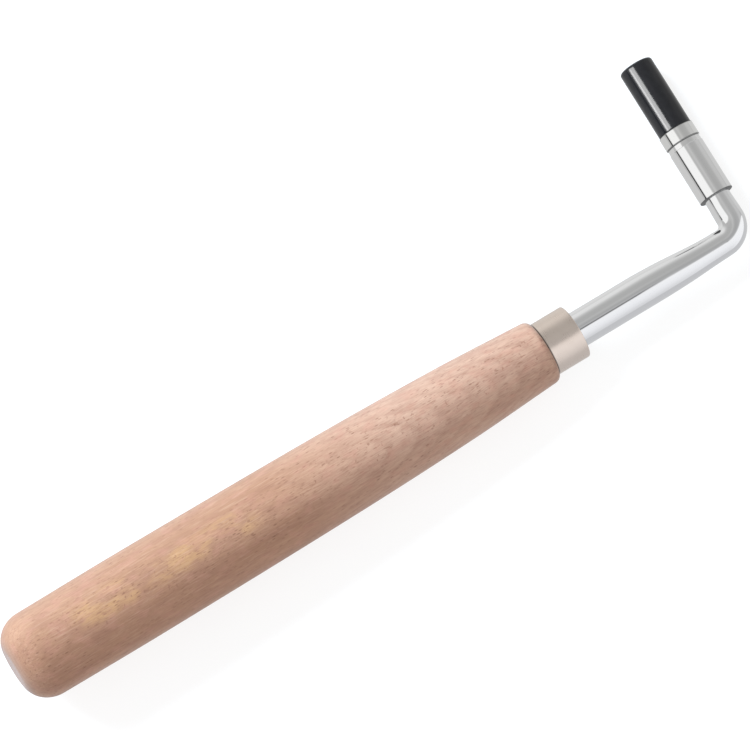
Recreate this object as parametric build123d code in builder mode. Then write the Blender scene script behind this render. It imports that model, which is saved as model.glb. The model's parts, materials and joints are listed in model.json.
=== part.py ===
"""L-shaped tuning lever: beech handle, ferrule, bent steel lever and a screw-in star-socket tip.

Millimetres, +Z up. The lever lies on a table as it comes to rest there: the swell of the handle and the
rim of the tip touch the plane z = 0, and the origin is under the middle of the whole tool.
"""

import os
from math import cos, radians, tan

from build123d import *

os.makedirs("parts", exist_ok=True)

# How the tool lies on the table, as angles about its own long axis and across it
lie_roll = -2.374
lie_pitch = 2.294
butt_centre = (-140.746, -25.067, 19.545)

# Handle
handle_length = 200.0
butt_flat_radius = 6.0
butt_round_length = 10.0
butt_radius = 14.75
belly_station, belly_radius = 48.0, 14.87
waist_station, waist_radius = 120.0, 14.2
shoulder_station, shoulder_radius = 165.0, 12.95
nose_radius = 11.1
nose_round = 2.6
nose_arc_radius = 2.73
belly_slope = 0.004
nose_slope = -0.085

# Ferrule and the tenon that it caps
ferrule_length = 12.0
ferrule_radius = 9.27
ferrule_wall = 1.1
ferrule_edge_round = 0.5
slip = 0.05

# Lever bar, along the handle's axis and then up the short leg
bar_radius = 6.0
corner_station = 275.1
bend_turn = 89.0
bend_radius = 6.3
bend_bow = 0.3
elbow_radius = 4.7
leg_radius = 4.5
leg_top = 24.0
leg_taper_end = 13.0

# Round sections of the taper before the bend: station, radius and drop away from the leg's side
taper_sections = (
    (230.0, bar_radius, 0.0),
    (238.0, 5.98, 0.02),
    (247.0, 5.74, 0.2),
    (255.0, 5.3, 0.4),
    (262.0, 4.88, 0.42),
)

# Tang inside the handle, and its bore
tang_radius = 5.0
tang_shoulder = 196.0
tang_end = 118.0
tang_chamfer = 1.0
tang_groove_start = 128.8
tang_groove_depth = 0.8
tang_groove_width = 3.0
tang_groove_pitch = 18.0
tang_groove_count = 4
glue_gap = 0.4

# Head: sleeve, collar and tip, as heights above the lever's axis
sleeve_bottom = 14.1
sleeve_top = 34.7
sleeve_radius = 5.97
sleeve_bevel_length = 2.0
sleeve_bevel_depth = 0.25
sleeve_break = 0.15
collar_top = 39.6
collar_radius = 6.13
collar_break = 0.2
tip_top = 64.85
tip_radius = 5.85
tip_end_round = 1.0
tip_base_break = 0.25

# Thread of the tip, M8 x 1.25 right-hand
thread_pitch = 1.25
thread_turns = 7
thread_length = thread_turns * thread_pitch
thread_crest_radius = 3.97
thread_root_radius = 3.36
thread_half_crest = 0.07
flank_angle = 30.0
thread_clearance = 0.06
thread_runout = 0.3
thread_lead_in = 0.3
thread_phase = 100.0
root_overlap = 0.08
tap_radius = thread_crest_radius + thread_clearance
sleeve_crest_radius = thread_root_radius + thread_clearance
shank_radius = 4.0
shank_plain_start = sleeve_top + 0.3
shank_end = sleeve_top - thread_length
shank_end_chamfer = 0.45
collar_bore_radius = 4.06

# Star socket: two squares an eighth of a turn apart
socket_across_flats = 6.5
socket_depth = 16.0
socket_taper = 0.6
socket_mouth_radius = 4.7
socket_mouth_chamfer = 0.9
relief_radius = 3.1
relief_depth = 18.2
drill_point_angle = 31.0


# The tool's own plane: x runs along the handle from the butt, y up the short leg, z out of the plane
tool = Plane(Pos(butt_centre) * Rot(Y=lie_pitch) * Rot(X=lie_roll))
handle_axis = Axis(tool.origin, tool.x_dir)

# The leg's plane: x is the radius from the leg's axis, y the height above the lever's axis
leg = Plane(tool.location * Pos(corner_station, 0, 0) * Rot(Z=bend_turn - 90))
leg_axis = Axis(leg.origin, leg.y_dir)


def across_bar(station, drop=0):
    """The plane square to the handle's axis at a station, with its origin dropped away from the leg."""
    return Plane(tool.from_local_coords((station, -drop, 0)), x_dir=tool.y_dir, z_dir=tool.x_dir)


def across_leg(height):
    """The plane square to the leg at a height above the lever's axis."""
    return Plane(leg.from_local_coords((0, height, 0)), x_dir=leg.x_dir, z_dir=leg.y_dir)


def tang_points():
    """Half section of the tang, from its end on the axis to its shoulder."""
    points = [
        (tang_end, 0),
        (tang_end, tang_radius - tang_chamfer),
        (tang_end + tang_chamfer, tang_radius),
    ]
    groove_floor = tang_groove_width - 2 * tang_groove_depth
    for i in range(tang_groove_count):
        start = tang_groove_start + i * tang_groove_pitch
        floor_start = start + tang_groove_depth
        floor_end = floor_start + groove_floor
        points.append((start, tang_radius))
        points.append((floor_start, tang_radius - tang_groove_depth))
        points.append((floor_end, tang_radius - tang_groove_depth))
        points.append((floor_end + tang_groove_depth, tang_radius))
    points.append((tang_shoulder, tang_radius))
    return points


bore_end = tang_end - glue_gap
bore_radius = tang_radius + glue_gap
throat_radius = bar_radius + slip
tenon_end = handle_length + ferrule_length - ferrule_wall - slip
tenon_radius = ferrule_radius - ferrule_wall - slip

with BuildPart() as handle:
    with BuildSketch(tool):
        with BuildLine():
            Line((0, 0), (0, butt_flat_radius))
            EllipticalCenterArc(
                (butt_round_length, butt_flat_radius),
                butt_round_length,
                butt_radius - butt_flat_radius,
                start_angle=180,
                arc_size=-90,
            )
            Spline(
                (butt_round_length, butt_radius),
                (belly_station, belly_radius),
                (waist_station, waist_radius),
                (shoulder_station, shoulder_radius),
                (handle_length - nose_round, nose_radius),
                tangents=[(1, belly_slope), (1, nose_slope)],
            )
            RadiusArc(
                (handle_length - nose_round, nose_radius),
                (handle_length, ferrule_radius),
                nose_arc_radius,
            )
            Polyline(
                (handle_length, ferrule_radius),
                (handle_length, tenon_radius),
                (tenon_end, tenon_radius),
                (tenon_end, throat_radius),
                (tang_shoulder, throat_radius),
                (tang_shoulder, bore_radius),
                (bore_end, bore_radius),
                (bore_end, 0),
                (0, 0),
            )
        make_face()
    revolve(axis=handle_axis)

with BuildPart() as ferrule:
    with BuildSketch(tool):
        with BuildLine():
            Polyline(
                (handle_length, tenon_radius + slip),
                (handle_length, ferrule_radius),
                (handle_length + ferrule_length, ferrule_radius),
                (handle_length + ferrule_length, throat_radius),
                (handle_length + ferrule_length - ferrule_wall, throat_radius),
                (handle_length + ferrule_length - ferrule_wall, tenon_radius + slip),
                close=True,
            )
        make_face()
    revolve(axis=handle_axis)
    front_rims = ferrule.edges().filter_by(GeomType.CIRCLE).group_by(handle_axis)[-1]
    fillet(front_rims.sort_by(SortBy.RADIUS)[-1], radius=ferrule_edge_round)

# The bend is a torus that joins the tapered bar, which drops by the bow, to the leg
leg_lean = radians(90 - bend_turn)
bend_tangent = bend_radius * tan(radians(bend_turn / 2))
bend_start = corner_station - bend_tangent - bend_bow * tan(leg_lean)
bend_end = bend_tangent - bend_bow / cos(leg_lean)

with BuildPart() as lever_rod:
    with BuildSketch(tool):
        with BuildLine():
            Polyline(
                *tang_points(),
                (tang_shoulder, bar_radius),
                (taper_sections[0][0], bar_radius),
                (taper_sections[0][0], 0),
                (tang_end, 0),
            )
        make_face()
    revolve(axis=handle_axis)
    for station, radius, drop in (*taper_sections, (bend_start, elbow_radius, bend_bow)):
        with BuildSketch(across_bar(station, drop)):
            Circle(radius)
    loft()
    with BuildSketch(across_bar(bend_start, bend_bow)):
        Circle(elbow_radius)
    bend_centre = tool.from_local_coords((bend_start, bend_radius - bend_bow, 0))
    revolve(axis=Axis(bend_centre, tool.z_dir), revolution_arc=bend_turn)
    with BuildSketch(leg):
        with BuildLine():
            Polyline((elbow_radius, bend_end), (0, bend_end), (0, leg_top), (leg_radius, leg_top))
            Line((leg_radius, leg_top), (leg_radius, leg_taper_end))
            Spline(
                (leg_radius, leg_taper_end),
                (elbow_radius, bend_end),
                tangents=[(0, -1), (0, -1)],
            )
        make_face()
    revolve(axis=leg_axis)

with BuildPart() as tang_adhesive:
    with BuildSketch(tool):
        with BuildLine():
            Polyline(
                *tang_points(),
                (tang_shoulder, bore_radius),
                (bore_end, bore_radius),
                (bore_end, 0),
                (tang_end, 0),
            )
        make_face()
    revolve(axis=handle_axis)

with BuildPart() as lock_collar:
    with BuildSketch(leg):
        with BuildLine():
            Polyline(
                (collar_bore_radius, sleeve_top),
                (collar_radius - collar_break, sleeve_top),
                (collar_radius, sleeve_top + collar_break),
                (collar_radius, collar_top - collar_break),
                (collar_radius - collar_break, collar_top),
                (collar_bore_radius, collar_top),
                close=True,
            )
        make_face()
    revolve(axis=leg_axis)


def helical_bar(inner, outer, half_inner, half_outer, start, run):
    """A right-hand helical bar about Z, of trapezium section, that starts over the X axis."""
    with BuildLine() as path:
        Helix(thread_pitch, run, (inner + outer) / 2, center=(0, 0, start))
    with BuildPart() as bar:
        with BuildSketch(Plane.XZ):
            with BuildLine():
                Polyline(
                    (inner, start - half_inner),
                    (outer, start - half_outer),
                    (outer, start + half_outer),
                    (inner, start + half_inner),
                    close=True,
                )
            make_face()
        sweep(path=path.line, is_frenet=True)
    return bar.part


def half_tooth(radius, clearance=0):
    """Half the width of the tip's thread at a radius, or of the space left for it in the sleeve."""
    crest_radius = thread_crest_radius + clearance
    return thread_half_crest + clearance + (crest_radius - radius) * tan(radians(flank_angle))


# Both threads start over the same radius of the leg, half a pitch apart, so that they mesh
thread_seat = Plane(
    leg.from_local_coords((0, leg_top, 0)),
    x_dir=leg.x_dir.rotate(leg_axis, thread_phase),
    z_dir=leg.y_dir,
).location
tip_ridge_root = thread_root_radius - root_overlap
tip_ridge_start = 2 * thread_pitch
tip_ridge = helical_bar(
    tip_ridge_root,
    thread_crest_radius,
    half_tooth(tip_ridge_root),
    half_tooth(thread_crest_radius),
    tip_ridge_start,
    shank_plain_start + thread_runout - leg_top - tip_ridge_start,
)
tap_root = tap_radius + root_overlap
sleeve_ridge_start = thread_pitch / 2
sleeve_ridge = helical_bar(
    sleeve_crest_radius,
    tap_root,
    thread_pitch / 2 - half_tooth(sleeve_crest_radius, thread_clearance),
    thread_pitch / 2 - half_tooth(tap_root, thread_clearance),
    sleeve_ridge_start,
    sleeve_top - leg_top - 2 * sleeve_ridge_start,
)

with BuildPart() as head_sleeve:
    with BuildSketch(leg):
        with BuildLine():
            Polyline(
                (leg_radius, sleeve_bottom),
                (sleeve_radius - sleeve_break, sleeve_bottom),
                (sleeve_radius, sleeve_bottom + sleeve_break),
                (sleeve_radius, sleeve_top - sleeve_bevel_length),
                (sleeve_radius - sleeve_bevel_depth, sleeve_top),
                (tap_radius + thread_lead_in, sleeve_top),
                (tap_radius, sleeve_top - thread_lead_in),
                (tap_radius, leg_top),
                (leg_radius, leg_top),
                close=True,
            )
        make_face()
    revolve(axis=leg_axis)
    add(thread_seat * sleeve_ridge)

with BuildPart() as socket_tip:
    with BuildSketch(leg):
        with BuildLine():
            Polyline(
                (0, shank_end),
                (thread_root_radius - shank_end_chamfer, shank_end),
                (thread_root_radius, shank_end + shank_end_chamfer),
                (thread_root_radius, shank_plain_start),
                (shank_radius, shank_plain_start),
                (shank_radius, collar_top),
                (tip_radius - tip_base_break, collar_top),
                (tip_radius, collar_top + tip_base_break),
                (tip_radius, tip_top - tip_end_round),
            )
            RadiusArc(
                (tip_radius, tip_top - tip_end_round),
                (tip_radius - tip_end_round, tip_top),
                -tip_end_round,
            )
            Polyline(
                (tip_radius - tip_end_round, tip_top),
                (socket_mouth_radius, tip_top),
                (socket_mouth_radius - socket_mouth_chamfer, tip_top - socket_mouth_chamfer),
                (relief_radius, tip_top - socket_mouth_chamfer),
                (relief_radius, tip_top - relief_depth),
                (0, tip_top - relief_depth - relief_radius * tan(radians(drill_point_angle))),
                (0, shank_end),
            )
        make_face()
    revolve(axis=leg_axis)
    add(thread_seat * tip_ridge)
    with BuildSketch(across_leg(tip_top)):
        Rectangle(socket_across_flats, socket_across_flats)
        Rectangle(socket_across_flats, socket_across_flats, rotation=45)
    extrude(amount=-socket_depth, taper=socket_taper, mode=Mode.SUBTRACT)

for piece, name in (
    (handle, "handle"),
    (ferrule, "ferrule"),
    (lever_rod, "lever_rod"),
    (tang_adhesive, "tang_adhesive"),
    (head_sleeve, "head_sleeve"),
    (lock_collar, "lock_collar"),
    (socket_tip, "socket_tip"),
):
    piece.part.label = name
    export_step(piece.part, f"parts/{name}.step")
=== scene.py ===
"""Looks of the L-shaped tuning lever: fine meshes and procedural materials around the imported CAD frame."""

import json
import math

import bpy
from mathutils import Matrix, Vector


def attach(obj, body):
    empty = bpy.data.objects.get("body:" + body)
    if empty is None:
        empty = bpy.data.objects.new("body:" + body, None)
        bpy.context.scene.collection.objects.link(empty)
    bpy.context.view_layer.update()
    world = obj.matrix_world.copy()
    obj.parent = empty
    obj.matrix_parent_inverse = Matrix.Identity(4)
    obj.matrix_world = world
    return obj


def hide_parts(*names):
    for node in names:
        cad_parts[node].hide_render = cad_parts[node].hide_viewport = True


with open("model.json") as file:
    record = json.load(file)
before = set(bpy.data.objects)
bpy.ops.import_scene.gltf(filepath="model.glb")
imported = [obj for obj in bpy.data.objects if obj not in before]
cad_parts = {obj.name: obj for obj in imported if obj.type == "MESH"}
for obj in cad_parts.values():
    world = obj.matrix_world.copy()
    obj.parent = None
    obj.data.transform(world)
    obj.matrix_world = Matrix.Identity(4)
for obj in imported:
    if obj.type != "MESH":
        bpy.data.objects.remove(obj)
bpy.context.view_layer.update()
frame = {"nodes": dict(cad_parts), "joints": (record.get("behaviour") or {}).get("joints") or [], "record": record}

MM = 0.001
SEGMENTS = 160

# ---------------------------------------------------------------- places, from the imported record

mounts = {mount["name"]: mount for mount in frame["record"]["mounts"]}
leg_dir = Vector(frame["joints"][0]["axis"]).normalized()
handle_dir = -Vector(mounts["butt_face"]["axis"]).normalized()
butt_centre = Vector(mounts["butt_face"]["pos_m"])
mouth_centre = Vector(mounts["star_socket"]["pos_m"])
plane_normal = handle_dir.cross(leg_dir).normalized()


def placement(origin, x_dir, z_dir):
    """The matrix that carries a piece's own axes to its place."""
    z = z_dir.normalized()
    x = (x_dir - x_dir.dot(z) * z).normalized()
    y = z.cross(x)
    turn = Matrix((x, y, z)).transposed().to_4x4()
    return Matrix.Translation(origin) @ turn


# ---------------------------------------------------------------- sizes in millimetres

HANDLE_LENGTH = 200.0
BUTT_FLAT_RADIUS = 6.0
BUTT_ROUND_LENGTH = 10.0
BUTT_RADIUS = 14.75
HANDLE_SWELL = ((10.0, 14.75), (48.0, 14.87), (120.0, 14.2), (165.0, 12.95), (197.4, 11.1))
NOSE_ROUND = 2.6
FERRULE_LENGTH = 12.0
FERRULE_RADIUS = 9.27
FERRULE_WALL = 1.1
FERRULE_ROUND = 0.5
SLIP = 0.05
BAR_RADIUS = 6.0
CORNER = 275.1
BEND_TURN = 89.0
BEND_RADIUS = 6.3
BEND_BOW = 0.3
ELBOW_RADIUS = 4.7
LEG_RADIUS = 4.5
LEG_TOP = 24.0
LEG_TAPER_END = 13.0
TAPER = ((230.0, 6.0, 0.0), (238.0, 5.98, 0.02), (247.0, 5.74, 0.2), (255.0, 5.3, 0.4), (262.0, 4.88, 0.42))
TANG_RADIUS = 5.0
TANG_SHOULDER = 196.0
TANG_END = 118.0
TANG_CHAMFER = 1.0
GROOVE_DEPTH = 0.8
GROOVE_WIDTH = 3.0
GROOVE_PITCH = 18.0
GROOVE_COUNT = 4
GLUE_GAP = 0.4
SLEEVE_BOTTOM = 14.1
SLEEVE_TOP = 34.7
SLEEVE_RADIUS = 5.97
SLEEVE_BEVEL = (2.0, 0.25)
SLEEVE_BREAK = 0.15
COLLAR_TOP = 39.6
COLLAR_RADIUS = 6.13
COLLAR_BREAK = 0.2
COLLAR_BORE = 4.06
TIP_TOP = 64.85
TIP_RADIUS = 5.85
TIP_ROUND = 1.0
TIP_BREAK = 0.25
PITCH = 1.25
TURNS = 7
CREST = 3.97
ROOT = 3.36
HALF_CREST = 0.07
FLANK = math.tan(math.radians(30))
CLEARANCE = 0.06
SHANK_RADIUS = 4.0
SHANK_PLAIN = SLEEVE_TOP + 0.3
SHANK_END = SLEEVE_TOP - TURNS * PITCH
SHANK_CHAMFER = 0.45
THREAD_PHASE = math.radians(100)
LEAD_IN = 0.3
ACROSS_FLATS = 6.5
SOCKET_DEPTH = 16.0
SOCKET_TAPER = math.tan(math.radians(0.6))
MOUTH_RADIUS = 4.7
MOUTH_CHAMFER = 0.9
RELIEF_RADIUS = 3.1
RELIEF_DEPTH = 18.2
DRILL_POINT = math.tan(math.radians(31))
SEAM_SHADE_WIDTH = 0.32
HAIR = 1e-6
RINGS_PER_MM = 0.62
SHARP_EDGE = math.radians(28)

on_handle = placement(butt_centre, plane_normal, handle_dir)
on_tool = placement(butt_centre, handle_dir, plane_normal)
corner = mouth_centre - leg_dir * (TIP_TOP * MM)
on_leg = placement(corner, leg_dir.cross(plane_normal), leg_dir)

# ---------------------------------------------------------------- mesh tools


def skin(name, rings, place, closed=False):
    """A surface through rings of (centre, x_dir, y_dir, radius), in millimetres.

    A radius is a number or a function of the angle. closed joins the last ring to the first, as in a
    tube's wall; otherwise each end is closed by a fan to its centre.
    """
    verts = []
    for centre, x_dir, y_dir, radius in rings:
        for k in range(SEGMENTS):
            angle = 2 * math.pi * k / SEGMENTS
            r = radius(angle) if callable(radius) else radius
            point = centre + (x_dir * math.cos(angle) + y_dir * math.sin(angle)) * r
            verts.append(place @ (point * MM))
    faces = []
    count = len(rings)
    for i in range(count if closed else count - 1):
        a = i * SEGMENTS
        b = (i + 1) % count * SEGMENTS
        for k in range(SEGMENTS):
            n = (k + 1) % SEGMENTS
            faces.append((a + k, a + n, b + n, b + k))
    if not closed:
        for i, flip in ((0, True), (count - 1, False)):
            tip = len(verts)
            verts.append(place @ (rings[i][0] * MM))
            a = i * SEGMENTS
            for k in range(SEGMENTS):
                n = (k + 1) % SEGMENTS
                faces.append((a + n, a + k, tip) if flip else (a + k, a + n, tip))
    mesh = bpy.data.meshes.new(name)
    mesh.from_pydata(verts, [], faces)
    mesh.validate()
    mesh.shade_smooth()
    mesh.set_sharp_from_angle(angle=SHARP_EDGE)
    piece = bpy.data.objects.new(name, mesh)
    bpy.context.collection.objects.link(piece)
    return piece


def turned_rings(profile):
    """Rings about the piece's own Z, from (station, radius) points."""
    x_dir = Vector((1, 0, 0))
    y_dir = Vector((0, 1, 0))
    return [(Vector((0, 0, station)), x_dir, y_dir, radius) for station, radius in profile]


def arc(centre, radii, start, end, steps):
    """Points (station, radius) of an ellipse's arc, angles in degrees from the station's direction."""
    points = []
    for i in range(steps + 1):
        angle = math.radians(start + (end - start) * i / steps)
        points.append((centre[0] + radii[0] * math.cos(angle), centre[1] + radii[1] * math.sin(angle)))
    return points


def smooth(knots, x):
    """Cubic through knots of (x, value, ...), with slopes from the neighbours; returns the values at x."""
    last = len(knots) - 1
    i = max(j for j in range(last) if x >= knots[j][0] - 1e-9) if x > knots[0][0] else 0

    def slope(j, k):
        a = knots[max(j - 1, 0)]
        b = knots[min(j + 1, last)]
        return (b[k] - a[k]) / (b[0] - a[0])

    x0, x1 = knots[i][0], knots[i + 1][0]
    h = x1 - x0
    t = (x - x0) / h
    values = []
    for k in range(1, len(knots[0])):
        values.append(
            (2 * t**3 - 3 * t**2 + 1) * knots[i][k]
            + (t**3 - 2 * t**2 + t) * h * slope(i, k)
            + (3 * t**2 - 2 * t**3) * knots[i + 1][k]
            + (t**3 - t**2) * h * slope(i + 1, k)
        )
    return values


def stations(start, end, step):
    """Evenly spaced stations with both ends."""
    count = max(1, round(abs(end - start) / step))
    return [start + (end - start) * i / count for i in range(count + 1)]


# ---------------------------------------------------------------- pieces


def handle_profile():
    """Outside of the handle from the butt's centre to the bottom of its bore."""
    points = [(0, r) for r in stations(0.4, BUTT_FLAT_RADIUS, 0.7)]
    points += arc(
        (BUTT_ROUND_LENGTH, BUTT_FLAT_RADIUS),
        (BUTT_ROUND_LENGTH, BUTT_RADIUS - BUTT_FLAT_RADIUS),
        180, 90, 28,
    )[1:]
    swell = stations(BUTT_ROUND_LENGTH, HANDLE_SWELL[-1][0], 1.5)[1:]
    points += [(x, smooth(HANDLE_SWELL, x)[0]) for x in swell]
    nose_start = HANDLE_LENGTH - NOSE_ROUND
    nose_drop = HANDLE_SWELL[-1][1] - FERRULE_RADIUS
    points += arc((nose_start, FERRULE_RADIUS), (NOSE_ROUND, nose_drop), 90, 0, 12)[1:]
    tenon = FERRULE_RADIUS - FERRULE_WALL - SLIP
    tenon_end = HANDLE_LENGTH + FERRULE_LENGTH - FERRULE_WALL - SLIP
    throat = BAR_RADIUS + SLIP
    bore = TANG_RADIUS + GLUE_GAP
    points += [(HANDLE_LENGTH, tenon), (tenon_end, tenon), (tenon_end, throat), (TANG_SHOULDER, throat)]
    points += [(TANG_SHOULDER, bore), (TANG_END - GLUE_GAP, bore)]
    return points


def make_handle():
    """Turned beech grip, with its tenon and the blind bore for the tang."""
    piece = skin("beech_handle", turned_rings(handle_profile()), on_handle)
    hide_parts("handle")
    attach(piece, "lever")
    return piece


def make_ferrule():
    """Drawn cap over the tenon, with a rounded front edge and a hole for the bar."""
    front = HANDLE_LENGTH + FERRULE_LENGTH
    inner = FERRULE_RADIUS - FERRULE_WALL
    back_break = 0.15
    profile = [
        (HANDLE_LENGTH, inner),
        (HANDLE_LENGTH, FERRULE_RADIUS - back_break),
        (HANDLE_LENGTH + back_break, FERRULE_RADIUS),
    ]
    profile += [(x, FERRULE_RADIUS) for x in stations(HANDLE_LENGTH + 1, front - FERRULE_ROUND, 1.5)]
    edge = FERRULE_ROUND
    profile += arc((front - edge, FERRULE_RADIUS - edge), (edge, edge), 90, 0, 8)[1:]
    profile += [
        (front, BAR_RADIUS + SLIP + 0.1),
        (front - 0.1, BAR_RADIUS + SLIP),
        (front - FERRULE_WALL, BAR_RADIUS + SLIP),
        (front - FERRULE_WALL, inner),
    ]
    piece = skin("nickel_ferrule", turned_rings(profile), on_handle, closed=True)
    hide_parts("ferrule")
    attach(piece, "lever")
    return piece


def bar_rings():
    """Rings of the bar: grooved tang, straight stretch, taper, bend and leg, in the tool's plane."""
    along = Vector((1, 0, 0))
    normal = Vector((0, 0, 1))
    rings = []

    def add(centre, tangent, radius):
        rings.append((centre, normal.cross(tangent), normal, radius))

    def straight(station, radius, drop=0.0):
        add(Vector((station, -drop, 0)), along, radius)

    straight(TANG_END, TANG_RADIUS - TANG_CHAMFER)
    straight(TANG_END + TANG_CHAMFER, TANG_RADIUS)
    for i in range(GROOVE_COUNT):
        start = TANG_END + (i + 0.6) * GROOVE_PITCH
        straight(start, TANG_RADIUS)
        straight(start + GROOVE_DEPTH, TANG_RADIUS - GROOVE_DEPTH)
        straight(start + GROOVE_WIDTH - GROOVE_DEPTH, TANG_RADIUS - GROOVE_DEPTH)
        straight(start + GROOVE_WIDTH, TANG_RADIUS)
    straight(TANG_SHOULDER, TANG_RADIUS)
    straight(TANG_SHOULDER, BAR_RADIUS)
    for x in stations(TANG_SHOULDER, TAPER[0][0], 1.5)[1:-1]:
        straight(x, BAR_RADIUS)
    lean = math.radians(90 - BEND_TURN)
    tangent_length = BEND_RADIUS * math.tan(math.radians(BEND_TURN) / 2)
    bend_start = CORNER - tangent_length - BEND_BOW * math.tan(lean)
    bend_end = tangent_length - BEND_BOW / math.cos(lean)
    knots = ((222.0, 6.0, 0.0), *TAPER, (bend_start, ELBOW_RADIUS, BEND_BOW))
    for x in stations(TAPER[0][0], bend_start, 0.5)[:-1]:
        radius, drop = smooth(knots, x)
        straight(x, radius, drop)
    centre = Vector((bend_start, BEND_RADIUS - BEND_BOW, 0))
    for angle in stations(0, BEND_TURN, 2.5):
        a = math.radians(angle)
        outward = Vector((math.sin(a), -math.cos(a), 0))
        add(centre + outward * BEND_RADIUS, Vector((math.cos(a), math.sin(a), 0)), ELBOW_RADIUS)
    up = Vector((math.sin(lean), math.cos(lean), 0))
    foot = Vector((CORNER, 0, 0))
    for height in stations(bend_end, LEG_TAPER_END, 0.5)[1:]:
        t = (height - bend_end) / (LEG_TAPER_END - bend_end)
        ease = t * t * (3 - 2 * t)
        add(foot + up * height, up, ELBOW_RADIUS + (LEG_RADIUS - ELBOW_RADIUS) * ease)
    for height in stations(LEG_TAPER_END, LEG_TOP, 2)[1:]:
        add(foot + up * height, up, LEG_RADIUS)
    return rings


def make_bar():
    """Bent steel bar."""
    piece = skin("bent_bar", bar_rings(), on_tool)
    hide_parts("lever_rod")
    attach(piece, "lever")
    return piece


def from_helix(angle, height, start, end):
    """How far a height is, along the axis, from a helix that runs from start to end; None beyond its ends."""
    turn = (angle - THREAD_PHASE) / (2 * math.pi) % 1
    offset = (height - start) / PITCH - turn
    middle = start + (round(offset) + turn) * PITCH
    if start - HAIR <= middle <= end + HAIR:
        return abs(offset - round(offset)) * PITCH
    return None


def flank(away, clearance):
    """Radius of a thread's surface, so far along the axis from the middle of its crest."""
    return CREST + clearance - max(0.0, away - HALF_CREST - clearance) / FLANK


def ridged(angle, height):
    """Radius of the tip's thread."""
    away = from_helix(angle, height, LEG_TOP + 2 * PITCH, SHANK_PLAIN + PITCH / 4)
    return ROOT if away is None else max(flank(away, 0.0), ROOT)


def tapped(angle, height):
    """Radius of the sleeve's thread: a ridge inwards, half a pitch from the tip's."""
    away = from_helix(angle, height, LEG_TOP + PITCH / 2, SLEEVE_TOP - PITCH / 2)
    if away is None:
        return CREST + CLEARANCE
    return max(flank(PITCH / 2 - away, CLEARANCE), ROOT + CLEARANCE)


def make_sleeve():
    """Head on the leg's end: plain bore below for the leg, tapped above for the tip."""
    tap = CREST + CLEARANCE
    bevel_length, bevel_depth = SLEEVE_BEVEL
    profile = [
        (SLEEVE_BOTTOM, LEG_RADIUS),
        (SLEEVE_BOTTOM, SLEEVE_RADIUS - SLEEVE_BREAK),
    ]
    edge = SLEEVE_BREAK
    profile += arc((SLEEVE_BOTTOM + edge, SLEEVE_RADIUS - edge), (edge, edge), 180, 90, 4)[1:]
    side = stations(SLEEVE_BOTTOM + 0.5, SLEEVE_TOP - bevel_length - 0.2, 1.5)
    profile += [(x, SLEEVE_RADIUS) for x in side]
    profile += [
        (SLEEVE_TOP - bevel_length, SLEEVE_RADIUS),
        (SLEEVE_TOP - bevel_length + 0.12, SLEEVE_RADIUS - 0.1),
        (SLEEVE_TOP - bevel_length / 2, SLEEVE_RADIUS - 0.18),
        (SLEEVE_TOP, SLEEVE_RADIUS - bevel_depth),
        (SLEEVE_TOP, tap + LEAD_IN),
    ]
    for height in stations(SLEEVE_TOP, LEG_TOP, PITCH / 12):
        # the mouth's lead-in cone, wider than the thread over its first LEAD_IN
        widened = height - (SLEEVE_TOP - LEAD_IN)
        cone = tap + widened if widened > 0 else 0.0
        profile.append((height, lambda angle, height=height, cone=cone: max(tapped(angle, height), cone)))
    profile += [(LEG_TOP, LEG_RADIUS)]
    piece = skin("head_sleeve_body", turned_rings(profile), on_leg, closed=True)
    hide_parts("head_sleeve")
    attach(piece, "lever")
    return piece


def make_collar():
    """Plain ring between the head and the tip."""
    edge = COLLAR_BREAK
    profile = [(SLEEVE_TOP, COLLAR_BORE)]
    profile += arc((SLEEVE_TOP + edge, COLLAR_RADIUS - edge), (edge, edge), 180, 90, 5)
    profile += [(x, COLLAR_RADIUS) for x in stations(SLEEVE_TOP + 2 * edge, COLLAR_TOP - 2 * edge, 1)]
    profile += arc((COLLAR_TOP - edge, COLLAR_RADIUS - edge), (edge, edge), 90, 0, 5)
    profile += [(COLLAR_TOP, COLLAR_BORE)]
    piece = skin("collar_ring", turned_rings(profile), on_leg, closed=True)
    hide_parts("lock_collar")
    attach(piece, "collar")
    return piece


def star(angle, depth):
    """Radius of the socket's eight-pointed star at an angle and a depth below the mouth."""
    half = ACROSS_FLATS / 2 - depth * SOCKET_TAPER
    turned = angle + math.pi / 4
    square = half / max(abs(math.cos(angle)), abs(math.sin(angle)))
    diamond = half / max(abs(math.cos(turned)), abs(math.sin(turned)))
    return max(square, diamond)


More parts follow.
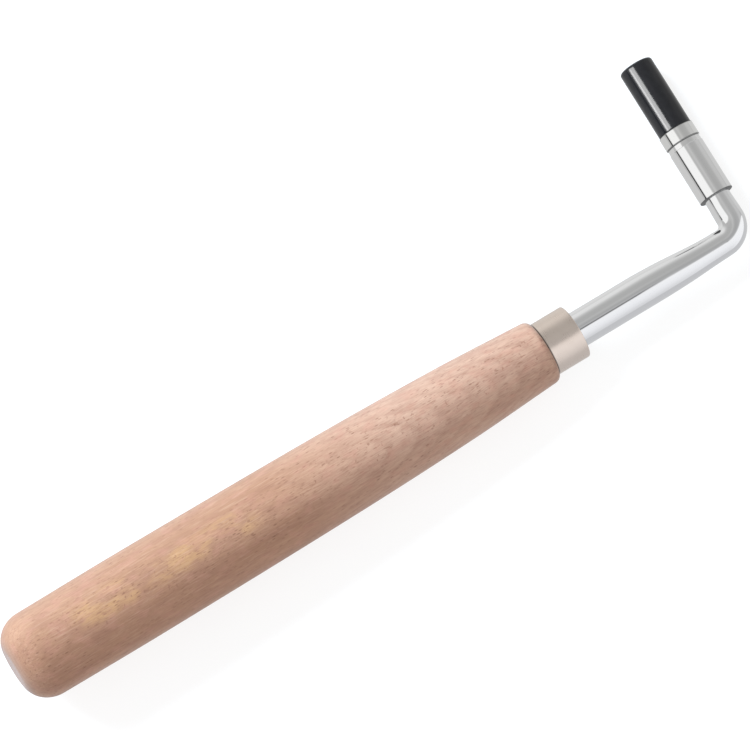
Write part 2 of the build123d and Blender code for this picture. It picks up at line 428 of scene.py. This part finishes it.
def make_tip():
    """Black tip: threaded shank, body, and the star socket in its mouth."""
    profile = [(SHANK_END, ROOT - SHANK_CHAMFER)]
    for height in stations(SHANK_END, SHANK_PLAIN, PITCH / 12):
        # the end's chamfer, narrower than the root over its first SHANK_CHAMFER
        cone = ROOT - SHANK_CHAMFER + height - SHANK_END
        cone = cone if cone < ROOT else CREST
        profile.append((height, lambda angle, height=height, cone=cone: min(ridged(angle, height), cone)))
    profile += [(SHANK_PLAIN, SHANK_RADIUS), (COLLAR_TOP, SHANK_RADIUS), (COLLAR_TOP, TIP_RADIUS - TIP_BREAK)]
    profile += arc((COLLAR_TOP + TIP_BREAK, TIP_RADIUS - TIP_BREAK), (TIP_BREAK, TIP_BREAK), 180, 90, 5)[1:]
    profile += [(x, TIP_RADIUS) for x in stations(COLLAR_TOP + 1, TIP_TOP - TIP_ROUND, 1.5)]
    profile += arc((TIP_TOP - TIP_ROUND, TIP_RADIUS - TIP_ROUND), (TIP_ROUND, TIP_ROUND), 90, 0, 12)[1:]
    for depth in stations(0, MOUTH_CHAMFER, 0.1):
        cone = MOUTH_RADIUS - depth
        profile.append((TIP_TOP - depth, lambda angle, depth=depth, cone=cone: max(star(angle, depth), cone)))
    for depth in stations(MOUTH_CHAMFER, SOCKET_DEPTH, 0.8)[1:]:
        profile.append((TIP_TOP - depth, lambda angle, depth=depth: star(angle, depth)))
    profile += [
        (TIP_TOP - SOCKET_DEPTH, RELIEF_RADIUS),
        (TIP_TOP - RELIEF_DEPTH, RELIEF_RADIUS),
        (TIP_TOP - RELIEF_DEPTH - RELIEF_RADIUS * DRILL_POINT * 0.98, RELIEF_RADIUS * 0.02),
    ]
    piece = skin("star_tip", turned_rings(profile), on_leg)
    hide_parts("socket_tip")
    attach(piece, "tip")
    return piece


# ---------------------------------------------------------------- materials


class Graph:
    """A node tree, with short calls to add and join nodes."""

    def __init__(self, tree):
        self.tree = tree
        tree.nodes.clear()

    def add(self, kind, **settings):
        node = self.tree.nodes.new(kind)
        for name, value in settings.items():
            setattr(node, name, value)
        return node

    def join(self, value, socket):
        if isinstance(value, bpy.types.NodeSocket):
            self.tree.links.new(value, socket)
        elif isinstance(value, (tuple, list)) and len(value) == 3 and socket.type == "RGBA":
            socket.default_value = (*value, 1)
        else:
            socket.default_value = value

    def ramp(self, value, *stops, ease="LINEAR"):
        """A colour or grey ramp from (position, colour or level) stops, with positions from 0 to 1."""
        node = self.add("ShaderNodeValToRGB")
        node.color_ramp.interpolation = ease
        while len(node.color_ramp.elements) < len(stops):
            node.color_ramp.elements.new(0.5)
        for element, (position, colour) in zip(node.color_ramp.elements, stops):
            element.position = position
            element.color = (*colour, 1) if isinstance(colour, tuple) else (colour, colour, colour, 1)
        self.join(value, node.inputs[0])
        return node.outputs[0]

    def curve(self, value, *stops, ease="LINEAR"):
        """A number that runs through (value, level) stops, and stays level beyond the first and the last."""
        low = stops[0][0]
        high = stops[-1][0]
        peak = max(level for _, level in stops)
        part = self.math("DIVIDE", self.math("SUBTRACT", value, low), high - low)
        levels = self.ramp(part, *(((x - low) / (high - low), level / peak) for x, level in stops), ease=ease)
        return self.math("MULTIPLY", levels, peak)

    def mix(self, fac, a, b):
        """Goes from colour a to colour b as fac goes from 0 to 1."""
        node = self.add("ShaderNodeMix", data_type="RGBA")
        self.join(fac, node.inputs[0])
        self.join(a, node.inputs[6])
        self.join(b, node.inputs[7])
        return node.outputs[2]

    def math(self, kind, a, b=0.0, c=0.0):
        node = self.add("ShaderNodeMath", operation=kind)
        for value, socket in zip((a, b, c), node.inputs):
            self.join(value, socket)
        return node.outputs[0]

    def lerp(self, fac, a, b):
        """Goes from a to b, both numbers, as fac goes from 0 to 1."""
        node = self.add("ShaderNodeMix")
        self.join(fac, node.inputs[0])
        self.join(a, node.inputs[2])
        self.join(b, node.inputs[3])
        return node.outputs[0]

    def dot(self, vector, direction):
        node = self.add("ShaderNodeVectorMath", operation="DOT_PRODUCT")
        self.tree.links.new(vector, node.inputs[0])
        node.inputs[1].default_value = direction
        return node.outputs["Value"]


class Finish(Graph):
    """A material whose textures lie in a piece's own axes, in millimetres."""

    def __init__(self, name, place):
        self.material = bpy.data.materials.new(name)
        self.material.use_nodes = True
        super().__init__(self.material.node_tree)
        out = self.add("ShaderNodeOutputMaterial")
        self.shader = self.add("ShaderNodeBsdfPrincipled")
        self.tree.links.new(self.shader.outputs[0], out.inputs[0])
        self.coords = self.add("ShaderNodeTexCoord")
        local = self.add("ShaderNodeMapping", vector_type="TEXTURE")
        local.inputs["Location"].default_value = place.translation
        local.inputs["Rotation"].default_value = place.to_euler()
        local.inputs["Scale"].default_value = (MM, MM, MM)
        self.tree.links.new(self.coords.outputs["Object"], local.inputs["Vector"])
        self.local = local.outputs[0]
        parts = self.add("ShaderNodeSeparateXYZ")
        self.tree.links.new(self.local, parts.inputs[0])
        self.x, self.y, self.z = parts.outputs

    def set(self, **inputs):
        for name, value in inputs.items():
            self.join(value, self.shader.inputs[name.replace("_", " ")])

    def scaled(self, scale, shift=(0, 0, 0)):
        """The piece's coordinates, in millimetres, times a scale for each axis."""
        node = self.add("ShaderNodeMapping")
        self.tree.links.new(self.local, node.inputs["Vector"])
        node.inputs["Scale"].default_value = scale
        node.inputs["Location"].default_value = shift
        return node.outputs[0]

    def noise(self, scale, detail=3, rough=0.5, distort=0.0, shift=(0, 0, 0)):
        """Noise with so many cycles per millimetre along each axis."""
        node = self.add("ShaderNodeTexNoise")
        self.tree.links.new(self.scaled(scale, shift), node.inputs["Vector"])
        node.inputs["Scale"].default_value = 1
        node.inputs["Detail"].default_value = detail
        node.inputs["Roughness"].default_value = rough
        node.inputs["Distortion"].default_value = distort
        return node.outputs["Fac"]

    def cells(self, scale):
        """Distance from the nearest of scattered points, and its cell's random colour."""
        node = self.add("ShaderNodeTexVoronoi")
        self.tree.links.new(self.scaled(scale), node.inputs["Vector"])
        node.inputs["Scale"].default_value = 1
        return node.outputs["Distance"], node.outputs["Color"]

    def facing(self, direction):
        """How far the object's own normal points along a direction, either way."""
        return self.math("ABSOLUTE", self.dot(self.coords.outputs["Normal"], direction))

    def bump(self, height, distance_mm, strength=1.0):
        node = self.add("ShaderNodeBump")
        node.inputs["Strength"].default_value = strength
        node.inputs["Distance"].default_value = distance_mm * MM
        self.join(height, node.inputs["Height"])
        return node.outputs[0]


def beech():
    """Steamed beech: growth rings, dark flecks and fine fibres along the grain, tan patches, end grain."""
    g = Finish("beech_wood", on_handle)
    wander = g.noise((0.05, 0.05, 0.014), detail=4, shift=(3.1, 0.4, 7.7))
    pith_x = g.math("ADD", g.math("MULTIPLY_ADD", g.z, -0.11, g.x), 30.0)
    pith_y = g.math("ADD", g.y, 2.5)
    spread = g.math("SQRT", g.math("MULTIPLY_ADD", pith_x, pith_x, g.math("MULTIPLY", pith_y, pith_y)))
    ring = g.math("FRACT", g.math("MULTIPLY_ADD", spread, RINGS_PER_MM, g.math("MULTIPLY", wander, 3.0)))
    figure = g.curve(ring, (0.0, 0.3), (0.15, 0.0), (0.6, 0.5), (0.9, 1.0), (1.0, 0.3))
    tone = g.noise((0.12, 0.12, 0.010), detail=5, rough=0.6, shift=(0.0, 5.0, 1.0))
    base = g.ramp(
        tone, (0.32, (0.290, 0.146, 0.084)), (0.52, (0.340, 0.182, 0.108)), (0.72, (0.380, 0.208, 0.127))
    )
    # paler towards the front
    base = g.mix(g.curve(g.z, (100, 0.0), (145, 0.62)), base, (0.50, 0.325, 0.238))
    # rings show more towards the front, where the cut runs out of the grain
    rings = g.math("MULTIPLY", figure, g.curve(g.z, (80, 0.18), (140, 0.28)))
    base = g.mix(rings, base, (0.235, 0.112, 0.072))
    # tan patches in a row on the upper face
    row = g.math(
        "MULTIPLY",
        g.curve(g.y, (-7, 0.0), (-2, 1.0), (2, 1.0), (6, 0.0), ease="EASE"),
        g.curve(g.x, (4, 0.0), (9, 1.0)),
    )
    row = g.math("MULTIPLY", row, g.curve(g.z, (20, 0.0), (28, 1.0), (84, 1.0), (95, 0.0), ease="EASE"))
    patch = g.noise((0.09, 0.12, 0.055), detail=3, shift=(1.6, 2.0, 4.0))
    patch = g.curve(patch, (0.42, 0.0), (0.56, 1.0), ease="EASE")
    base = g.mix(g.math("MULTIPLY", g.math("MULTIPLY", patch, row), 0.6), base, (0.46, 0.262, 0.118))
    blotch = g.noise((0.22, 0.22, 0.1), detail=4, rough=0.6, shift=(7.0, 1.0, 2.0))
    base = g.mix(g.curve(blotch, (0.36, 0.3), (0.52, 0.0)), base, (0.262, 0.126, 0.086))
    # short dark flecks, in crowds
    distance, tint = g.cells((1.5, 1.5, 0.42))
    flecks = g.curve(distance, (0.14, 1.0), (0.4, 0.0), ease="EASE")
    crowd = g.curve(g.noise((0.08, 0.08, 0.03), detail=3, shift=(0.0, 8.0, 5.0)), (0.38, 0.25), (0.6, 1.0))
    flecks = g.math("MULTIPLY", g.math("MULTIPLY", flecks, g.ramp(tint, (0.3, 0.0), (0.8, 1.0))), crowd)
    base = g.mix(g.math("MULTIPLY", flecks, 0.8), base, (0.150, 0.060, 0.036))
    # the rays are cut lengthwise along two opposite sides, and show there as longer dark dashes
    radial = g.curve(g.y, (-7, 0.2), (-3, 1.0), (4, 1.0), (9, 0.2), ease="EASE")
    dashes = g.noise((1.1, 1.1, 0.26), detail=3, rough=0.6, shift=(4.0, 2.0, 9.0))
    dashes = g.math("MULTIPLY", g.curve(dashes, (0.3, 0.62), (0.44, 0.0)), radial)
    base = g.mix(dashes, base, (0.205, 0.090, 0.055))
    spots = g.curve(g.noise((0.7, 0.7, 0.8), detail=2, shift=(2.0, 6.0, 1.0)), (0.27, 0.7), (0.36, 0.0))
    base = g.mix(g.math("MULTIPLY", spots, radial), base, (0.195, 0.084, 0.052))
    # pinker clouds, then dark and pale fibres
    warm = g.curve(g.noise((0.3, 0.3, 0.2), detail=3, shift=(5.0, 5.0, 0.0)), (0.5, 0.0), (0.66, 0.4))
    base = g.mix(warm, base, (0.40, 0.195, 0.135))
    fibre = g.noise((3.2, 3.2, 0.2), detail=5, rough=0.65, shift=(9.0, 0.0, 0.0))
    base = g.mix(g.curve(fibre, (0.34, 0.42), (0.56, 0.0)), base, (0.215, 0.100, 0.064))
    pale = g.noise((2.0, 2.0, 0.14), detail=4, shift=(0.0, 0.0, 3.0))
    base = g.mix(g.curve(pale, (0.52, 0.0), (0.75, 0.4)), base, (0.46, 0.280, 0.185))
    # end grain where the surface faces along the handle: pores and rings
    end = g.curve(g.facing(handle_dir), (0.72, 0.0), (0.97, 0.8), ease="EASE")
    pores = g.curve(g.noise((4.5, 4.5, 0.4), detail=2), (0.42, 0.4), (0.56, 0.0))
    cut = g.mix(pores, (0.350, 0.205, 0.140), (0.19, 0.09, 0.055))
    cut = g.mix(g.math("MULTIPLY", figure, 0.4), cut, (0.21, 0.105, 0.065))
    base = g.mix(end, base, cut)
    height = g.math("ADD", g.math("MULTIPLY", flecks, -0.5), g.math("MULTIPLY", fibre, 0.6))
    height = g.math("ADD", height, g.math("MULTIPLY", figure, -0.25))
    rough = g.math("ADD", g.math("MULTIPLY", flecks, 0.1), g.math("MULTIPLY_ADD", tone, -0.12, 0.58))
    g.set(Base_Color=base, Roughness=rough, Specular_IOR_Level=0.4, Normal=g.bump(height, 0.05, 0.7))
    g.set(Sheen_Weight=0.14, Sheen_Roughness=0.4, Sheen_Tint=(0.75, 0.92, 1.0))
    return g.material


def satin_nickel():
    """Warm satin nickel, brushed around the axis."""
    g = Finish("satin_nickel_plate", on_handle)
    brushed = g.noise((0.25, 0.25, 9.0), detail=4, rough=0.65)
    cloud = g.noise((0.25, 0.25, 0.25), detail=3)
    base = g.ramp(cloud, (0.3, (0.785, 0.68, 0.605)), (0.7, (0.825, 0.72, 0.645)))
    base = g.mix(g.math("MULTIPLY", brushed, 0.18), base, (0.62, 0.53, 0.45))
    # painted shade: a near-black line on the ferrule's back edge, where it meets the wood, standing in for the
    # shadow in that crease
    joint_shade = g.curve(g.z, (HANDLE_LENGTH + 0.15, 1.0), (HANDLE_LENGTH + 0.5, 0.0))
    base = g.mix(g.math("MULTIPLY", joint_shade, 0.9), base, (0.05, 0.04, 0.035))
    rough = g.math("ADD", g.math("MULTIPLY", brushed, 0.1), g.math("MULTIPLY_ADD", cloud, 0.06, 0.21))
    g.set(Base_Color=base, Metallic=1.0, Roughness=rough, Normal=g.bump(brushed, 0.006, 0.6))
    return g.material


def bright_plate(name, place, scale, colour, gloss, seam_shades=()):
    """Bright plating over a finely worked surface, with faint haze, hairline marks and painted shade at the seams.

    A seam's entry is its station, and how far its painted shade covers the end face beside it, from 0 to 1.
    """
    g = Finish(name, place)
    lines = g.noise(scale, detail=4, rough=0.6)
    haze = g.noise((0.18, 0.18, 0.18), detail=5, rough=0.6)
    hair = g.noise((1.1, 1.1, 1.1), detail=2, distort=2.2)
    scratch = g.ramp(hair, (0.492, 0.0), (0.5, 1.0), (0.508, 0.0))
    base = g.mix(g.math("MULTIPLY", haze, 0.12), colour, tuple(0.86 * c for c in colour))
    rough = g.math("MULTIPLY_ADD", haze, 0.06, gloss)
    rough = g.math("MULTIPLY_ADD", scratch, 0.05, rough)
    # painted shade: near-black bands at each seam, standing in for the shade where the parts meet; the roughness
    # there goes up as well
    for station, on_face in seam_shades:
        away = g.math("ABSOLUTE", g.math("SUBTRACT", g.z, station))
        outside = g.curve(g.facing(leg_dir), (0.75, 1.0), (0.95, on_face))
        seam_shade = g.math("MULTIPLY", g.curve(away, (SEAM_SHADE_WIDTH / 2, 0.85), (SEAM_SHADE_WIDTH, 0.0)), outside)
        base = g.mix(seam_shade, base, (0.05, 0.05, 0.05))
        rough = g.lerp(seam_shade, rough, 0.5)
    g.set(Base_Color=base, Metallic=1.0, Roughness=rough, Normal=g.bump(lines, 0.0015, 0.5))
    return g.material


def black_oxide():
    """Oil-blackened steel, semi-gloss, with a fine grain and a little wear at the rims."""
    g = Finish("black_oxide_steel", on_leg)
    grain = g.noise((5.0, 5.0, 5.0), detail=3)
    turned = g.noise((0.2, 0.2, 6.0), detail=3)
    mottle = g.noise((0.5, 0.5, 0.35), detail=5, rough=0.6)
    base = g.ramp(mottle, (0.3, (0.003, 0.003, 0.004)), (0.7, (0.007, 0.007, 0.008)))
    rim = g.ramp(g.math("SUBTRACT", g.z, TIP_TOP - 1), (0.35, 0.0), (0.75, 1.0))
    worn = g.math("MULTIPLY", rim, g.ramp(g.noise((0.7, 0.7, 0.7), detail=3), (0.45, 0.0), (0.7, 1.0)))
    base = g.mix(g.math("MULTIPLY", worn, 0.3), base, (0.10, 0.096, 0.092))
    rough = g.math("ADD", g.math("MULTIPLY", mottle, 0.08), g.math("MULTIPLY_ADD", grain, 0.05, 0.08))
    height = g.math("ADD", grain, g.math("MULTIPLY", turned, 0.8))
    g.set(Base_Color=base, Roughness=rough, Normal=g.bump(height, 0.008, 0.6))
    return g.material


def resin():
    """Cured epoxy, amber and slightly cloudy."""
    g = Finish("cured_epoxy", on_handle)
    cloud = g.noise((0.6, 0.6, 0.6), detail=4)
    base = g.ramp(cloud, (0.3, (0.50, 0.40, 0.22)), (0.7, (0.62, 0.52, 0.33)))
    g.set(Base_Color=base, Roughness=g.math("MULTIPLY_ADD", cloud, 0.2, 0.3), Normal=g.bump(cloud, 0.02))
    return g.material


def paper():
    """Matt white table, lit from below as well."""
    g = Finish("white_table", Matrix.Identity(4))
    fine = g.noise((0.02, 0.02, 0.02), detail=4)
    base = g.ramp(fine, (0.3, (0.285, 0.285, 0.285)), (0.7, (0.295, 0.295, 0.295)))
    g.set(Base_Color=base, Roughness=0.9, Specular_IOR_Level=0.1)
    g.set(Emission_Color=(1, 1, 1), Emission_Strength=TABLE_GLOW)
    return g.material


def dress(piece, material):
    """Gives a piece its one material."""
    piece.data.materials.clear()
    piece.data.materials.append(material)


# ---------------------------------------------------------------- stage, camera and light

# in metres, degrees and millimetres

CAMERA_PLACE = Vector((-0.295353, -0.341221, 2.499083))
CAMERA_TURN = (10.1875, -1.8302, -31.8939)
CAMERA_LENS = 377.15
TABLE_SIZE = 24.0
TABLE_GLOW = 0.76
KEY_WAY = (-0.42, 0.70, 0.58)
KEY_WATTS = 39
KEY_COLOUR = (0.93, 1.15, 1.38)
# the share along the leg of the directions that the leg and the tip mirror to the camera
TIP_MIRROR = 0.177


def make_camera():
    """The photograph's viewing angle."""
    data = bpy.data.cameras.new("camera")
    data.lens = CAMERA_LENS
    data.sensor_width = 36
    data.clip_end = 20
    camera = bpy.data.objects.new("camera", data)
    camera.location = CAMERA_PLACE
    camera.rotation_euler = [math.radians(a) for a in CAMERA_TURN]
    bpy.context.collection.objects.link(camera)
    bpy.context.scene.camera = camera


def make_floor():
    """The table, left out of mirror reflections, where the dome's lower half stands for it."""
    half = TABLE_SIZE / 2
    corners = [(-half, -half, 0), (half, -half, 0), (half, half, 0), (-half, half, 0)]
    mesh = bpy.data.meshes.new("table")
    mesh.from_pydata(corners, [], [(0, 1, 2, 3)])
    floor = bpy.data.objects.new("table", mesh)
    bpy.context.collection.objects.link(floor)
    dress(floor, paper())
    floor.visible_glossy = False


def softbox(name, target, way, distance, size, watts, colour=(1, 1, 1), mirrored=True):
    """A rectangular softbox over a target, with its width along the handle.

    way is its direction along the handle, the leg and the plane's normal. mirrored says if it shows in
    mirror reflections.
    """
    data = bpy.data.lights.new(name, "AREA")
    data.shape = "RECTANGLE"
    data.size, data.size_y = size
    data.energy = watts
    data.color = colour
    lamp = bpy.data.objects.new(name, data)
    toward = (handle_dir * way[0] + leg_dir * way[1] + plane_normal * way[2]).normalized()
    lamp.matrix_world = placement(target + toward * distance, handle_dir, toward)
    lamp.visible_camera = False
    lamp.visible_glossy = mirrored
    bpy.context.collection.objects.link(lamp)
    return lamp


def make_dome():
    """The studio around the tool: a grey room with a white panel overhead."""
    world = bpy.data.worlds.new("studio")
    world.use_nodes = True
    g = Graph(world.node_tree)
    out = g.add("ShaderNodeOutputWorld")
    glow = g.add("ShaderNodeBackground")
    g.tree.links.new(glow.outputs[0], out.inputs[0])
    way = g.add("ShaderNodeTexCoord").outputs["Generated"]
    across = g.dot(way, handle_dir)
    along = g.dot(way, leg_dir)
    rise = g.dot(way, plane_normal)
    above = g.math("MAXIMUM", rise, 0.02)
    # degrees from overhead, towards the handle's front and towards the leg's side
    front = g.math("DEGREES", g.math("ARCSINE", across))
    side = g.math("DEGREES", g.math("ARCSINE", along))
    across_share = g.math("MULTIPLY", across, across)
    along_share = g.math("MULTIPLY", along, along)
    sideways = g.math("DIVIDE", along_share, g.math("ADD", g.math("ADD", across_share, along_share), 1e-4))
    room = g.lerp(
        sideways,
        g.curve(
            front, (-20, 0.57), (-9, 0.50), (2, 0.435), (25, 0.44), (50, 0.49),
            (62, 0.6), (78, 0.62), (90, 0.48)
        ),
        g.curve(
            side, (-10, 0.62), (1, 0.66), (13, 0.6), (22, 0.5), (37, 0.49), (43, 0.51), (50, 0.55),
            (57, 0.65), (63, 0.75), (69, 0.85), (80, 0.88)
        ),
    )
    panel = g.lerp(
        sideways,
        g.curve(front, (-80, 0.01), (-72, 0.01), (-70, 0.5), (-68, 1.0), (-62, 1.06)),
        g.curve(side, (-90, 0.64), (-77, 0.78), (-70, 0.86), (-57, 0.95), (-45, 1.0), (-25, 1.04)),
    )
    # where the panel's near edge runs on a ceiling one unit up, as leg-side against handle-side distance
    u = g.math("DIVIDE", across, above)
    v = g.math("DIVIDE", along, above)
    edge = g.curve(u, (-1.5, 2.55), (-0.36, 1.19), (0.1, 0.63), (0.19, 0.58), (0.28, 0.68), (0.5, 0.72))
    inward = g.math("SUBTRACT", edge, g.math("ADD", v, 1.0))
    level = g.lerp(g.curve(inward, (-0.12, 0.0), (0.13, 1.0), ease="EASE"), room, panel)
    # a thin dark gap along the lowest part of that edge
    gap = g.curve(inward, (-0.2, 0.0), (-0.15, 1.0), (-0.09, 1.0), (-0.04, 0.0))
    gap = g.math("MULTIPLY", gap, g.curve(u, (0.02, 0.0), (0.1, 0.9), (0.2, 0.9), (0.27, 0.0)))
    level = g.lerp(gap, level, 0.06)
    # below the horizon, the grey of the wider table
    table = g.curve(side, (-90, 0.62), (0, 0.66), (60, 0.82), (90, 0.7))
    level = g.lerp(g.curve(rise, (-0.10, 1.0), (-0.05, 0.0)), level, table)
    tint = g.mix(g.math("MULTIPLY_ADD", along, -1.0, 0.3), (1.0, 1.0, 0.99), (0.985, 0.993, 1.02))
    g.join(tint, glow.inputs[0])
    g.join(level, glow.inputs[1])
    bpy.context.scene.world = world


def make_light(tip):
    """Key light, two small strips that only light the black tip, and the dome."""
    origin = Vector((0, 0, 0))
    softbox("key", origin, KEY_WAY, 1.4, (0.8, 0.8), KEY_WATTS, KEY_COLOUR, mirrored=False)
    only_tip = bpy.data.collections.new("lit_by_strips")
    only_tip.objects.link(tip)
    middle = on_leg @ Vector((0, 0, (COLLAR_TOP + TIP_TOP) / 2 * MM))
    for name, lean, width, watts in (("strip_wide", 43, 0.62, 6.0), ("strip_core", 52, 0.14, 0.9)):
        slope = math.radians(lean)
        way = (-math.sin(slope), TIP_MIRROR, math.cos(slope))
        strip = softbox(name, middle, way, 1.0, (width, 0.28), watts)
        strip.light_linking.receiver_collection = only_tip
    make_dome()
    bpy.context.scene.view_settings.view_transform = "Standard"


make_camera()
make_floor()

dress(make_handle(), beech())
dress(make_ferrule(), satin_nickel())
dress(make_bar(), bright_plate("polished_chrome", on_tool, (0.5, 0.5, 0.5), (0.85, 0.853, 0.86), 0.035))
turned_plate = (0.15, 0.15, 7.0)
# the head's lower end face, beside the leg, takes the painted shade in full
dress(make_sleeve(), bright_plate("turned_plate_head", on_leg, turned_plate, (0.85, 0.85, 0.85), 0.03,
                                   seam_shades=((SLEEVE_BOTTOM, 1.0), (SLEEVE_TOP, 0.0))))
dress(make_collar(), bright_plate("turned_plate_collar", on_leg, turned_plate, (0.84, 0.84, 0.83), 0.04,
                                   seam_shades=((SLEEVE_TOP, 0.0), (COLLAR_TOP, 0.0))))
tip_piece = make_tip()
dress(tip_piece, black_oxide())
dress(frame["nodes"]["tang_adhesive"], resin())

make_light(tip_piece)
